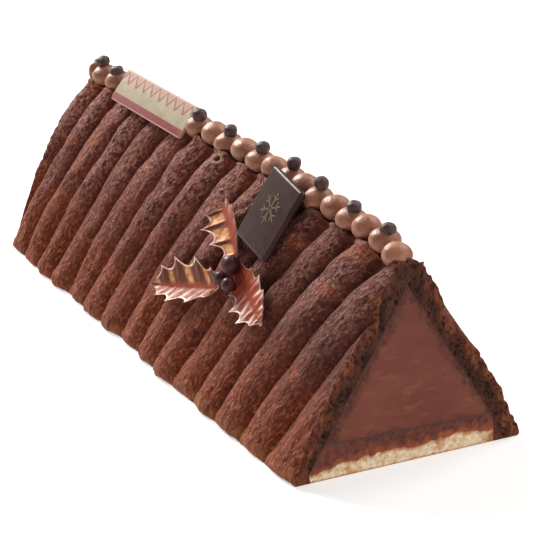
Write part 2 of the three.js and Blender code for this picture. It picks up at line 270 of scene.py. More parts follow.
def make_mesh(name, points_mm, faces, finishes, face_finish=None, sharp_degrees=60):
    """A mesh from points in millimetres, smooth except over edges sharper than the angle."""
    mesh = bpy.data.meshes.new(name)
    mesh.from_pydata((np.asarray(points_mm) * mm).tolist(), [], faces)
    for material in finishes:
        mesh.materials.append(material)
    if face_finish:
        mesh.polygons.foreach_set("material_index", face_finish)
    work = bmesh.new()
    work.from_mesh(mesh)
    bmesh.ops.recalc_face_normals(work, faces=work.faces)
    work.to_mesh(mesh)
    work.free()
    mesh.shade_smooth()
    mesh.set_sharp_from_angle(angle=math.radians(sharp_degrees))
    mesh.update()
    return mesh


def quads_of(grid):
    """The four-sided faces of a grid of point numbers."""
    corners = [grid[:-1, :-1], grid[:-1, 1:], grid[1:, 1:], grid[1:, :-1]]
    return np.stack(corners, axis=-1).reshape(-1, 4).tolist()


def put_in_place(mesh, slot, *nodes, stand=None):
    """Shows the mesh as part of the log, in place of its CAD nodes."""
    piece = set_out(mesh.name, mesh)
    if stand:
        piece.matrix_world = stand
    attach(piece, "root")
    if nodes:
        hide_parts(*nodes)
    return piece


def note_on_points(mesh, name, values):
    """Keeps a number for each point, which the finish reads."""
    mesh.attributes.new(name, "FLOAT", "POINT").data.foreach_set("value", np.ravel(values))


# A finish is coloured by amounts. Each is a function that adds its nodes to a material and
# gives the socket where the amount comes out.


def feed(material, value, socket):
    """Sets a socket to a number or a colour, or joins an amount or another socket to it."""
    if callable(value):
        value = value(material)
    if isinstance(value, bpy.types.NodeSocket):
        material.node_tree.links.new(value, socket)
    else:
        socket.default_value = (*value, 1) if isinstance(value, tuple) else value


def add_node(material, kind, **inputs):
    """A new node. Each input that is named is fed the value given for it."""
    node = material.node_tree.nodes.new("ShaderNode" + kind)
    for label, value in inputs.items():
        feed(material, value, node.inputs[label.replace("_", " ").title()])
    return node


def on_piece(material):
    """The place on the piece, in metres."""
    return add_node(material, "TexCoord").outputs["Object"]


def kept_on_points(name, kind):
    """What the mesh keeps on its points under a name."""
    def read(material):
        kept = add_node(material, "Attribute")
        kept.attribute_name = name
        return kept.outputs[kind]
    return read


def spread(value, low, high):
    """An amount spread out from 0 at low to 1 at high."""
    return lambda material: add_node(
        material, "MapRange", value=value, from_min=low, from_max=high).outputs["Result"]


def note(name, low=0.0, high=1.0):
    """The number noted on the points, spread out from 0 at low to 1 at high."""
    return spread(kept_on_points(name, "Fac"), low, high)


def mottle(size_mm, low=0.35, high=0.65, detail=3, stretch=(1, 1, 1), seed=0,
           where=on_piece):
    """Cloudy patches of about this size, spread out from 0 below low to 1 above high."""
    def clouds(material):
        place = add_node(material, "Mapping", vector=where,
                         scale=[1 / value for value in stretch],
                         location=[0.37 * seed, 0.11 * seed, 0.05 * seed])
        noise = add_node(material, "TexNoise", vector=place.outputs["Vector"],
                         scale=1000 / size_mm, detail=detail)
        return noise.outputs["Fac"]
    return spread(clouds, low, high)


def joined(operation, first, second):
    """Two amounts put together by MULTIPLY, ADD, SUBTRACT, MAXIMUM or PINGPONG."""
    def add_up(material):
        sum_up = add_node(material, "Math")
        sum_up.operation = operation
        feed(material, first, sum_up.inputs[0])
        feed(material, second, sum_up.inputs[1])
        return sum_up.outputs[0]
    return add_up


def tint(amount, under, over, strength=1.0):
    """Lays one colour over another by an amount that varies over the surface."""
    def lay(material):
        cover = joined("MULTIPLY", amount, strength)(material)
        cover.node.use_clamp = True
        layer = add_node(material, "Mix")
        layer.data_type = "RGBA"
        feed(material, cover, layer.inputs["Factor"])
        feed(material, under, layer.inputs[6])
        feed(material, over, layer.inputs[7])
        return layer.outputs[2]
    return lay


def new_finish(name, roughness, specular, body, layers=(), bump=None, **even_values):
    """A new material: a body that varies between two colours, with layers laid over it.

    Each layer is its amount, its colour and how strongly it covers. The bump is the height
    of a surface too fine for the mesh, and its depth in millimetres.
    """
    material = bpy.data.materials.new(name)
    material.use_nodes = True
    shader = material.node_tree.nodes["Principled BSDF"]
    shader.inputs["Roughness"].default_value = roughness
    shader.inputs["Specular IOR Level"].default_value = specular
    for label, value in even_values.items():
        shader.inputs[label.replace("_", " ").title()].default_value = value
    colour = tint(*body)
    for amount, laid_over, strength in layers:
        colour = tint(amount, colour, laid_over, strength)
    feed(material, colour, shader.inputs["Base Color"])
    if bump:
        height, depth_mm = bump
        relief = add_node(material, "Bump", height=height, distance=depth_mm * mm)
        feed(material, relief.outputs["Normal"], shader.inputs["Normal"])
    return material


def grain(size_mm, low, high, detail, drawn_out, seed=0):
    """Patches in the biscuit that are drawn out along the piped fingers."""
    return mottle(size_mm, low, high, detail, (1, drawn_out, 1), seed,
                  kept_on_points("piping", "Vector"))


biscuit_skin = new_finish(
    "biscuit_skin", 0.7, 0.12,
    (grain(3.0, 0.36, 0.64, 3, 2.6), (0.09, 0.017, 0.0095), (0.19, 0.037, 0.021)),
    [
        # Painted shade: the skin is coloured darker towards the cut end, where the light falls
        # off.
        (note("dark"), (0.06, 0.016, 0.012), 0.5),
        (note("toast"), (0.225, 0.039, 0.012), 0.9),
        (grain(1.25, 0.44, 0.66, 4, 1.7, 3), (0.055, 0.013, 0.008), 0.45),
        # Sugar dusting together with a painted highlight: paler on the crests, where the light
        # catches them.
        (joined("MULTIPLY", note("sugar_and_highlight"), grain(1.5, 0.44, 0.62, 4, 1.8, 5)),
         (0.52, 0.26, 0.215), 0.56),
        (grain(1.2, 0.56, 0.66, 3, 1.4, 11), (0.035, 0.009, 0.006), 0.32),
        # Pale grains all over, more on the crests, where they are partly painted glints.
        (joined("MULTIPLY", joined("ADD", note("sugar_and_highlight"), 0.18),
                grain(0.95, 0.58, 0.68, 2, 1.4, 13)), (0.62, 0.32, 0.24), 0.6),
        (joined("MAXIMUM",
                joined("MULTIPLY", note("toast"), grain(1.0, 0.52, 0.66, 3, 2.8, 17)),
                joined("MULTIPLY", note("foot"), 0.6)), (0.5, 0.21, 0.09), 0.65),
        # Painted shade in the pits and in the hollow of the burst bubble.
        (note("shaded_pit"), (0.05, 0.018, 0.013), 0.45),
        (note("rim"), (0.75, 0.5, 0.36), 0.85),
    ],
    bump=(grain(1.2, 0.25, 0.75, 5, 1.5, 7), 0.6),
    sheen_weight=0.1, sheen_roughness=0.35, sheen_tint=(1, 0.72, 0.62, 1),
)

inner_crumb = tint(
    mottle(1.1, 0.56, 0.7, seed=2),
    tint(mottle(3.2, 0.4, 0.62, 4, (1, 1, 2.2)), (0.036, 0.014, 0.009), (0.095, 0.033, 0.021)),
    (0.17, 0.072, 0.047), 0.4)
biscuit_crumb = new_finish(
    "biscuit_crumb", 0.9, 0.15,
    (mottle(2.4, 0.4, 0.62, 4, (1, 1, 2.5), seed=4), (0.085, 0.025, 0.015),
     (0.24, 0.07, 0.035)),
    [
        (note("depth", 0.27, 0.58), inner_crumb, 1.0),
        # Painted shade: the crumb is darker towards the ridge, where the two walls meet.
        (note("ridge_shade"), (0.07, 0.029, 0.021), 0.55),
        # Painted shade: the holes in the crumb are coloured nearly black.
        (note("shaded_pit"), (0.014, 0.008, 0.006), 1.0),
    ],
    bump=(mottle(0.9, 0.3, 0.7, 5), 0.6),
)


def solid_size(node):
    """The middle of a CAD node and half its size, in millimetres."""
    low, high = (np.array(corner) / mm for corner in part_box(node))
    return (low + high) / 2, (high - low) / 2


def ball_size(ball):
    """The middle and half the size of a ball of the ridge. The plain ones slumped a little."""
    middle, half = solid_size(ball)
    if ball.replace("ganache_ball", "chocolate_pearl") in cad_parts:
        middle[2] += ball_half_height - half[2]
        half[2] = ball_half_height
    else:
        middle[2] += (1 - ball_slump) * half[2]
        half[2] *= ball_slump
    return middle, half


def press_under_balls(points):
    """Sinks the points that a ball of the ridge sits on."""
    gap = 0.15
    for ball in ball_names:
        middle, half = ball_size(ball)
        half = half + gap
        reach = 1 - ((points[:, 0] - middle[0]) / half[0]) ** 2 - (
            (points[:, 1] - middle[1]) / half[1]) ** 2
        under = (reach > 0) & (points[:, 0] < end_cap_start)
        floor = middle[2] - half[2] * np.sqrt(reach[under])
        points[under, 2] = np.minimum(points[under, 2], floor)


def wall_form(starts, fullness, turned, seed):
    """The smooth outer face of a wall, in rows from its foot to the seam along the ridge.

    With it come how far round its finger each point is, its place on the unrolled sheet, and
    how far up the grain of the crust it is, which follows the rounded foot of the finger.
    """
    columns = int(round(2 * half_length / column_step)) + 1
    slope_rows = int(round(wall_top * math.hypot(1, wall_run) / row_step)) + 1
    x = np.linspace(-half_length, half_length, columns)
    towards_cut_end = -x if turned else x
    sag = ridge_sag * (x / half_length) ** 2
    bow = foot_bow * eased(towards_cut_end, 5, 45) * (1 - eased(towards_cut_end, 118, 139))
    rows, crests, feet = [], [], []
    for height in np.linspace(0, wall_top, slope_rows):
        crest, foot_x, finger = swell_across(x, np.full_like(x, height), starts, fullness)
        below_round = max(0, 1 - height / foot_rounded_below)
        swell = foot_swell + (1 - foot_swell) * math.sqrt(1 - below_round ** 2)
        swell *= 1 - 0.28 * eased(height, 62, wall_top)
        spread_out = foot_spread * (1 - eased(height, 0, foot_spread_below))
        spread_out = spread_out + bow * (1 - eased(height, 0, foot_bow_below))
        out = finger_swell * crest * swell + spread_out
        y = -wall_foot + wall_run * height + out * out_of_wall[1]
        z = height + out * out_of_wall[2] * min(1, height / 2.5)
        rows.append(np.stack([x, y, z - sag * (height / wall_top) ** 2], axis=1))
        crests.append(crest)
        feet.append(np.stack([foot_x, np.full_like(x, height * slope_per_height)], axis=1))

    # The fingers end in round tips, some of them squeezed up between the balls, and lower
    # ones under the last balls of the far end. The sheet is cut along the ridge.
    tip_lift = 1.9 * scramble(finger[:, None], seed) - 0.3
    tip_lift += 1.2 * eased(towards_cut_end, 118, 132)
    tip_lift -= 3.4 * eased(-towards_cut_end, 102, 112) * (
        1 - eased(-towards_cut_end, 122, 134))
    tip_lift -= 1.4 * eased(towards_cut_end, end_cap_start - 2, end_cap_start + 1)
    end_cap = 4.6 * eased(towards_cut_end, end_cap_start - 1.2, end_cap_start + 1.4)
    lower_at_cut = (6.0 if turned else 1.6) * eased(towards_cut_end, 134, 140)
    shoulder = np.stack([
        x,
        shoulder_y - (0.8 + 0.35 * tip_lift) * crest,
        shoulder_up + (3.2 + tip_lift) * crest - sag + 0.2 * end_cap - lower_at_cut,
    ], axis=1)
    seam_height = seam_up + 0.9 * crest - sag + end_cap
    seam = np.stack([x, np.full_like(x, seam_y), seam_height], axis=1)
    slope_end = rows[-1]
    for step in np.linspace(0, 1, crown_rows + 1)[1:]:
        to_shoulder = (1 - step) ** 2 * slope_end + 2 * step * (1 - step) * shoulder
        rows.append(to_shoulder + step ** 2 * seam)
        crests.append(crest * (1 - 0.6 * step))
        up_sheet = slope_per_height * wall_top + 9 * step
        feet.append(np.stack([foot_x, np.full_like(x, up_sheet)], axis=1))
    form, crest, feet = np.array(rows), np.array(crests), np.array(feet)

    foot_rows = int(8 / row_step)
    climb = np.linalg.norm(np.diff(form[:foot_rows + 1], axis=0), axis=2)
    grain_up = feet[..., 1].copy()
    grain_up[:foot_rows] = grain_up[foot_rows] - climb[::-1].cumsum(axis=0)[::-1]
    return form, crest, feet, grain_up, towards_cut_end


def baked_skin(form, crest, feet, towards_cut_end, turned, seed):
    """The face with its batter swollen unevenly, and pitted where bubbles burst."""
    lie = np.cross(np.gradient(form, axis=1), np.gradient(form, axis=0))
    lie /= np.linalg.norm(lie, axis=2, keepdims=True)
    pits = np.maximum(
        bubbles(feet, (5.5, 8.0), seed + 20, 0.05, 0.22),
        0.5 * bubbles(feet, (2.3, 3.4), seed + 30, 0.04, 0.2),
    ) * (0.35 + 0.65 * eased(crest, 0.35, 0.8))
    from_burst = np.linalg.norm((feet - burst_place) / burst_size, axis=2)
    hollow = eased(-from_burst, -1, -0.5) * (not turned)
    raised_rim = np.exp(-((from_burst - 1.2) / 0.3) ** 2) * (not turned)
    raised_rim *= np.clip(0.75 + 1.5 * unevenness(feet, 1.7, seed + 8), 0, 1)
    edge_start = 138.5
    ragged_edge = 1.3 * eased(towards_cut_end, edge_start, half_length)
    ragged_edge = ragged_edge + 0.45 * eased(-towards_cut_end, edge_start, half_length)
    swellings = ((1.7, (12, 19)), (0.8, (4.2, 8.5)), (0.33, (1.9, 3.6)), (0.26, (1.05, 1.8)))
    relief = sum(
        height * unevenness(feet, size, seed + number)
        for number, (height, size) in enumerate(swellings, 1)
    )
    relief = relief - 0.6 * pits - 1.5 * hollow + 0.8 * raised_rim
    relief = relief + ragged_edge * unevenness(feet, (1.5, 2.1), seed + 12)
    relief *= 0.4 + 0.6 * eased(crest, 0.15, 0.7)
    skin = form + lie * relief[..., None]
    skin[:, 0, 0] = -half_length
    skin[:, -1, 0] = half_length
    skin[-1, :, 1] = seam_y
    skin[0, :, 2] = 0
    skin[1:, :, 2] = np.maximum(skin[1:, :, 2], 0.05)
    return skin, pits, hollow, raised_rim


def crumb_end(outer, inner, side, seed):
    """The cut end of a wall, with how much of a hole and how deep in the crumb each point is.

    The crust reaches deeper at the foot, and at the ridge the crumb lies bare.
    """
    row = np.arange(len(outer))[:, None]
    share = np.linspace(0, 1, crumb_columns + 1)[None, 1:]
    cut = outer[:, None] * (1 - share[..., None]) + inner[:, None] * share[..., None]
    inside = (np.minimum(share, 1 - share) > 0.02) & (row > 0) & (row < len(outer) - 1)
    holes = np.maximum(bubbles(cut, 2.6, seed + 40, 0.1, 0.45),
                       0.6 * bubbles(cut, 1.4, seed + 43, 0.1, 0.4)) * inside
    dents = -1.3 * holes + 0.7 * unevenness(cut, 1.5, seed + 46) * inside
    x = side * (half_length + np.minimum(dents, 0.25))
    depth = share + 0.5 * unevenness(cut, (3.1, 6), seed + 49)
    depth = depth * (0.45 + 0.55 * eased(cut[..., 1], 2, 13)) + 0.3 * eased(cut[..., 1], 63, 76)
    return np.concatenate([x[..., None], cut], axis=2), holes, depth


def piped_wall(name, node, first_edge, variety, turned, inner_face, seed):
    """A whole wall: its baked skin, both cut ends and the plain face towards the filling."""
    starts, fullness = finger_edges(first_edge, variety)
    if not turned:
        starts[-4:-1] += wider_at_cut_end
    form, crest, feet, grain_up, towards_cut_end = wall_form(starts, fullness, turned, seed)
    skin, pits, hollow, raised_rim = baked_skin(
        form, crest, feet, towards_cut_end, turned, seed)
    row_count, columns = crest.shape
    up_inside = np.linspace(0, 1, row_count)
    inner = np.stack(
        [np.interp(up_inside, inner_face[:, 0], inner_face[:, axis]) for axis in (1, 2)], axis=1)
    inner[-1] = (seam_y, inner_ridge)

    grid = np.arange(crest.size).reshape(crest.shape)
    points = [skin.reshape(-1, 3)]
    # The pits, the hollow of the burst bubble and the holes of the crumb are painted in shade.
    shaded_pit_notes = [np.maximum(pits, 1.6 * hollow).ravel()]
    depth_notes = [np.zeros(crest.size)]
    first = crest.size
    ends = []
    for side, column in ((-1, 0), (1, columns - 1)):
        end_points, holes, depth = crumb_end(skin[:, column, 1:], inner, side, seed)
        points.append(end_points.reshape(-1, 3))
        shaded_pit_notes.append(holes.ravel())
        depth_notes.append(depth.ravel())
        ends.append(np.hstack([
            grid[:, [column]], first + np.arange(holes.size).reshape(holes.shape)]))
        first += holes.size
    points = np.vstack(points)
    if turned:
        points[:, :2] *= -1
    press_under_balls(points)

    skin_faces = quads_of(grid)
    crumb_faces = quads_of(ends[0]) + quads_of(ends[1])
    crumb_faces += quads_of(np.stack([end[:, -1] for end in ends]))
    for row in (0, row_count - 1):
        edge = np.concatenate([grid[row], ends[1][row, 1:], ends[0][row, :0:-1]])
        crumb_faces.append(edge.tolist())
    mesh = make_mesh(name, points, skin_faces + crumb_faces, [biscuit_skin, biscuit_crumb],
                     [0] * len(skin_faces) + [1] * len(crumb_faces), 70)

    height_share = np.repeat(np.arange(row_count)[:, None] / row_count, columns, axis=1)
    # Painted shade: an amount that grows towards the cut end. It darkens the skin there and
    # weakens the painted highlight.
    cut_end_shade = np.broadcast_to(eased(towards_cut_end, 10, 120), crest.shape)
    # Sugar dusting and painted highlight: the crests are paler higher up the wall and less so
    # towards the cut end.
    sugar_and_highlight = eased(crest, 0.3, 0.95) * (0.12 + 0.88 * eased(height_share, 0.2, 0.9))
    sugar_and_highlight *= (0.95 + unevenness(feet, (7, 12), seed + 5)) * (1.15 - 0.5 * cut_end_shade)
    toast = (1 - eased(height_share, 0.05, 0.55)) * (
        0.9 + 0.9 * unevenness(feet, (3.2, 9), seed + 6))
    toast = np.maximum(toast, 0.9 * eased(unevenness(feet, (9, 8), seed + 9), 0.2, 0.4))
    foot = (1 - eased(height_share, 0.0, 0.07)) * (
        0.5 + 1.6 * unevenness(feet, (1.6, 2.2), seed + 10))
    on_crumb = np.zeros(len(points) - crest.size)
    on_skin = {"sugar_and_highlight": sugar_and_highlight, "toast": toast, "dark": cut_end_shade, "foot": foot,
               "rim": raised_rim}
    for label, amounts in on_skin.items():
        note_on_points(mesh, label, np.concatenate([amounts.ravel(), on_crumb]))
    note_on_points(mesh, "shaded_pit", np.concatenate(shaded_pit_notes))
    note_on_points(mesh, "depth", np.concatenate(depth_notes))
    # Painted shade near the ridge, which the crumb reads.
    note_on_points(mesh, "ridge_shade", eased(points[:, 2], 58, 69))
    piping = np.zeros((len(points), 3))
    piping[:crest.size] = np.stack(
        [feet[..., 0], grain_up, np.full(crest.shape, seed)], axis=-1).reshape(-1, 3) * mm
    mesh.attributes.new("piping", "FLOAT_VECTOR", "POINT").data.foreach_set(
        "vector", piping.ravel())
    return put_in_place(mesh, "piped_biscuit", node)


# The inner face, as shares of the way up with their places across and up the section. The
# back sheet is folded under at its foot.
plain_foot = np.array([(0, -38.4, 0), (0.05, -39.0, 3.4), (1, -0.15, inner_ridge)])
folded_foot = np.array([(0, -35.2, 0), (0.12, -35.2, 9.5), (1, -0.15, inner_ridge)])
piped_wall("wall_front", "biscuit_wall_front", -177.0, 0.0, False, plain_foot, 11)
piped_wall("wall_back", "biscuit_wall_back", -170.3, 1.3, True, folded_foot, 57)


# ---- The filling ----
# Set chocolate mousse fills the wedge between the walls. It was cut with a warm knife, which
# left a smooth face with faint drag marks, and it stands on two layers of sponge.

knife_columns = 110
mousse_apex = 66.1
wedge_run = 0.62


def rim_of(grid):
    """The point numbers round the edge of a grid."""
    return np.concatenate([grid[0, :-1], grid[:-1, -1], grid[-1, :0:-1], grid[:0:-1, 0]])


def band_between(ring, other):
    """The faces that join two closed rings of point numbers."""
    corners = [ring, np.roll(ring, -1), np.roll(other, -1), other]
    return np.stack(corners, axis=-1).tolist()


def log_layer(name, node, slot, section, rows, end_relief, finish, notes):
    """A layer as long as the log, from its section. Only its two ends are finely made."""
    across, up = np.meshgrid(np.linspace(0, 1, knife_columns), np.linspace(0, 1, rows))
    cut = np.stack(section(across, up), axis=-1)
    edge = np.minimum.reduce([across, 1 - across, up, 1 - up]) < 1e-6
    grid = np.arange(edge.size).reshape(edge.shape)
    points, faces = [], []
    for number, side in enumerate((-1, 1)):
        x = side * (half_length + np.where(edge, 0, end_relief(cut, number)))
        points.append(np.concatenate([x[..., None], cut], axis=2).reshape(-1, 3))
        faces += quads_of(grid + number * grid.size)
    faces += band_between(rim_of(grid), rim_of(grid) + grid.size)
    mesh = make_mesh(name, np.vstack(points), faces, [finish])
    for label, rule in notes.items():
        note_on_points(mesh, label, np.tile(rule(across, up, cut).ravel(), 2))
    return put_in_place(mesh, slot, node)


def inside_half_width(height):
    return 41.05 - wedge_run * height


def mousse_floor(across):
    """The mousse lies a little higher on the sponge along the front wall."""
    return 13.4 - 1.9 * across


def mousse_section(across, up):
    height = mousse_floor(across) + (mousse_apex - mousse_floor(across)) * up
    half = np.maximum(inside_half_width(height), 0.05)
    return (2 * across - 1) * half, height


mousse = new_finish(
    "set_mousse", 0.6, 0.16,
    (mottle(9, 0.35, 0.66, stretch=(1, 2.4, 1)), (0.142, 0.038, 0.025), (0.168, 0.047, 0.031)),
    [
        (mottle(3.4, 0.56, 0.72, stretch=(1, 3.5, 1), seed=4), (0.23, 0.072, 0.036), 0.7),
        (mottle(1.1, 0.62, 0.72, seed=6), (0.08, 0.028, 0.02), 0.5),
        # Painted shade: the mousse is coloured darker towards its top, under the ridge.
        (note("top"), (0.11, 0.03, 0.021), 0.6),
        # Crumb smeared at the edge, and painted shade where the mousse meets the walls and the
        # sponge.
        (joined("MULTIPLY", note("rim"), joined("ADD", mottle(1.4, 0.35, 0.65, 4, seed=8), 0.45)),
         (0.062, 0.019, 0.011), 0.95),
    ],
    bump=(mottle(1.8, 0.3, 0.7, 4, (1, 2.2, 1)), 0.12),
)


def knife_marks(cut, number):
    return 0.5 * unevenness(cut, (16, 7), 70 + number) + 0.16 * unevenness(cut, (5, 2), 74)


def smear_and_shade_rim(across, up, cut):
    """Where crumb and syrup were dragged over the mousse, with painted shade along the walls and
    the sponge: 1 at its edge and 0 further in.
    """
    from_wall = np.minimum(across, 1 - across) * 2 * inside_half_width(cut[..., 1])
    from_floor = cut[..., 1] - mousse_floor(across)
    smear = 3.4 * unevenness(cut, (2.2, 3.6), 61) + 1.8 * unevenness(cut, 1.1, 62)
    wall_reach = 4.4 - 1.8 * across
    floor_reach = 4.0
    beside_wall = 1.3 - (from_wall + smear) / wall_reach
    return np.maximum(beside_wall, 0.45 - (from_floor + smear) / floor_reach).clip(0, 1)


# The rim note is smeared crumb with painted shade; the top note is painted shade.
log_layer("mousse_wedge", "chocolate_mousse", "mousse", mousse_section, 90, knife_marks, mousse,
          {"rim": smear_and_shade_rim, "top": lambda across, up, cut: eased(up, 0.3, 0.95)})


# ---- The sponge under the filling ----
# The base is plain pale sponge. Its top is soaked with cocoa syrup, which turned it dark and
# crept down unevenly, so the edge between the two is ragged.


def sponge_between_walls(across, height):
    """The place between the walls, of which the back one is folded under at its foot."""
    front = np.maximum(-41.0 + wedge_run * height, -38.4 - 0.18 * height)
    back = 35.1 - wedge_run * np.maximum(height - 9.5, 0)
    return front + (back - front) * across


def syrup_edge(y):
    """How deep the syrup stopped, as a height above the table."""
    middle = 5.9 - 2.3 * eased(-y, 8, 41) - 1.5 * eased(y, 24, 35)
    spot = np.stack([y, np.zeros_like(y)], axis=-1)
    ragged = 1.6 * unevenness(spot, 6.5, 81) + 1.2 * unevenness(spot, 2.1, 82)
    return np.maximum(middle + ragged + 0.6 * unevenness(spot, 0.8, 83), 1.2)


def sponge_section(across, up):
    height = syrup_edge(sponge_between_walls(across, 2.0)) * up
    return sponge_between_walls(across, height), height


def soaked_section(across, up):
    bottom = syrup_edge(sponge_between_walls(across, 2.0)) + 0.02
    height = bottom + (mousse_floor(across) - 0.03 - bottom) * up
    return sponge_between_walls(across, height), height


pale_sponge = new_finish(
    "pale_sponge", 0.92, 0.15,
    (mottle(1.9, 0.34, 0.58, 4), (0.7, 0.48, 0.28), (0.91, 0.73, 0.51)),
    [
        (mottle(4.0, 0.54, 0.66, 4, seed=2), (0.58, 0.24, 0.085), 0.7),
        (note("edge"), (0.42, 0.15, 0.05), 0.9),
        # Painted shade in the holes of the sponge.
        (note("shaded_pit"), (0.5, 0.28, 0.12), 0.35),
    ],
    bump=(mottle(1.0, 0.3, 0.7, 4), 0.4),
)
soaked_sponge = new_finish(
    "soaked_sponge", 0.7, 0.3,
    (mottle(2.2, 0.38, 0.64, 4), (0.1, 0.023, 0.014), (0.175, 0.042, 0.024)),
    [
        (note("edge"), (0.33, 0.08, 0.026), 0.9),
        # Painted shade: a dark band along the top, where the soaked sponge meets the mousse.
        (note("seam"), (0.07, 0.028, 0.022), 0.75),
    ],
    bump=(mottle(1.1, 0.3, 0.7, 4), 0.35),
)


def open_crumb(cut, number):
    return -0.7 * bubbles(cut, 2.4, 90 + number, 0.1, 0.42) + 0.5 * unevenness(cut, 1.3, 94)


log_layer(
    "sponge_base", "base_sponge", "pale_sponge", sponge_section, 14, open_crumb, pale_sponge,
    {
        "edge": lambda across, up, cut: np.maximum.reduce([
            1 - cut[..., 1] / 0.9,
            1 - (1 - up) * syrup_edge(cut[..., 0]) / 1.3 + 0.8 * unevenness(cut, 2.4, 66),
            1.5 - 30 * (1 - across) - 1.5 * unevenness(cut, 1.6, 65),
        ]).clip(0, 1),
        "shaded_pit": lambda across, up, cut: bubbles(cut, 2.4, 91, 0.1, 0.42),
    },
)
log_layer(
    "sponge_soaked", "soaked_sponge", "soaked_sponge", soaked_section, 14, open_crumb,
    soaked_sponge,
    {
        "edge": lambda across, up, cut: (
            1 - (cut[..., 1] - syrup_edge(cut[..., 0]) + 3.4 * unevenness(cut, 1.9, 63)) / 2.5
        ).clip(0, 1),
        # Painted shade along the top, under the mousse.
        "seam": lambda across, up, cut: eased(
            mousse_floor(across) - cut[..., 1] + unevenness(cut, (4, 1.5), 64), 2.6, 0.3),
    },
)


# ---- The ganache balls ----
# Twenty-two balls of whipped milk chocolate ganache, piped in a row along the ridge. They are
# soft and satin, a little flattened, and no two are quite alike.

ganache = new_finish(
    "whipped_ganache", 0.45, 0.6,
    (mottle(7), (0.24, 0.077, 0.033), (0.34, 0.125, 0.06)),
    [(mottle(1.6, 0.5, 0.72, 4, seed=2), (0.45, 0.21, 0.12), 0.35)],
    bump=(mottle(1.3, 0.3, 0.7), 0.09),
    sheen_weight=0.35, sheen_roughness=0.3, sheen_tint=(1, 0.74, 0.55, 1),
    subsurface_weight=0.12, subsurface_radius=(0.002, 0.001, 0.0006), subsurface_scale=1.0,
)


def add_ball(name, slot, node, finish, sides, rings, shape):
    """Adds a closed ball, pole to pole, whose points shape(direction) moves to their places."""
    angles = np.linspace(0, 2 * math.pi, sides, endpoint=False)
    directions = [(0, 0, 1)]
    for drop in np.linspace(0, math.pi, rings + 1)[1:-1]:
        for angle in angles:
            directions.append((math.sin(drop) * math.cos(angle),
                               math.sin(drop) * math.sin(angle), math.cos(drop)))
    directions.append((0, 0, -1))
    last = len(directions) - 1
    ring = 1 + np.arange(sides)
    faces = []
    for here, after in zip(ring.tolist(), np.roll(ring, -1).tolist()):
        faces.append([0, here, after])
        faces.append([last, after + last - 1 - sides, here + last - 1 - sides])
    for _ in range(rings - 2):
        faces += band_between(ring, ring + sides)
        ring = ring + sides
    mesh = make_mesh(name, shape(np.array(directions)), faces, [finish])
    return put_in_place(mesh, slot, node)


first_ball_nudge = -0.8
for count, ball in enumerate(ball_names):
    middle, half = ball_size(ball)
    middle[0] += first_ball_nudge if count == 0 else 0

    def piped_ball(direction):
        lumps = unevenness(direction * 4 + 9.0 * count, 3.1, 130 + count)
        swirl = unevenness(direction * 4 + 5.0 * count, 1.4, 160 + count)
        return middle + direction * half * (1 + 0.11 * lumps + 0.045 * swirl)[:, None]

    add_ball("piped_" + ball, "ganache", ball, ganache, 44, 26, piped_ball)


# ---- The chocolate pearls ----
# Small crisp nuggets in dark chocolate, rounded but squarish, pressed into every other ball
# while it was soft. They are dull, with a faint bloom in patches.

pearl_coat = new_finish(
    "pearl_coat", 0.5, 0.3,
    (mottle(2.2), (0.042, 0.019, 0.018), (0.085, 0.044, 0.042)),
    [(mottle(0.8, 0.5, 0.7, 4, seed=3), (0.14, 0.09, 0.085), 0.2)],
    bump=(mottle(0.9, 0.3, 0.7), 0.08),
)

squareness = 2.5
pearl_names = [name for name in sorted(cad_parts) if name.startswith("chocolate_pearl_")]
nudged = {
    "chocolate_pearl_20": ((0.9, -1.0, 0.2), 1.16),
    "chocolate_pearl_21": ((-0.3, -1.0, 0.0), 1.0),
}
for count, pearl in enumerate(pearl_names):
    middle, half = solid_size(pearl)
    slide, growth = nudged.get(pearl, ((0, 0, 0), 1.0))
    middle += slide
    half *= 0.97 * growth
    twist = np.array(Matrix.Rotation(0.8 * count + 0.3, 3, "Z")
                     @ Matrix.Rotation(0.25 * math.sin(count), 3, "X"))

    def nugget(direction):
        squared = np.abs(direction) ** squareness
        radius = 1 / squared.sum(axis=1) ** (1 / squareness)
        lumps = unevenness(direction * 3 + 7.0 * count, 1.6, 210 + count)
        body = direction * (radius * (0.93 + 0.13 * lumps))[:, None] * half * 0.96
        return middle + body @ twist.T

    add_ball("nugget_" + pearl[-2:], "pearl_chocolate", pearl, pearl_coat, 28, 18, nugget)


# ---- The greeting plaque ----
# A thin bar of white chocolate with rounded corners, printed in edible red: a border of
# triangles along the top and a band near the foot. It leans on the balls.

greeting_wide, greeting_high, greeting_thick = 71.0, 15.0, 1.5
bar_corner = 1.6


def rounded_bar(name, wide, high, thick, bevel, finish):
    """A flat bar with round corners and soft edges, drawn with its front face at height 0."""
    def outline(inset):
        radius = max(bar_corner - inset, 0.05)
        spots = []
        for number, (side, end) in enumerate(((1, 1), (-1, 1), (-1, -1), (1, -1))):
            centre = (side * (wide / 2 - inset - radius), end * (high / 2 - inset - radius))
            for angle in np.linspace(0, math.pi / 2, 7) + number * math.pi / 2:
                spots.append((centre[0] + radius * math.cos(angle),
                              centre[1] + radius * math.sin(angle)))
        return spots

    rings = []
    for turn in np.linspace(0, math.pi / 2, 5):
        rings.append((bevel * (1 - math.sin(turn)), -bevel * (1 - math.cos(turn))))
    rings += [(inset, -thick - depth) for inset, depth in reversed(rings)]
    points = [(x, y, depth) for inset, depth in rings for x, y in outline(inset)]
    ring = np.arange(len(points) // len(rings))
    faces = [ring.tolist()]
    for _ in rings[1:]:
        faces += band_between(ring, ring + ring.size)
        ring = ring + ring.size
    faces.append(ring.tolist())
    return make_mesh(name, points, faces, [finish], sharp_degrees=35)


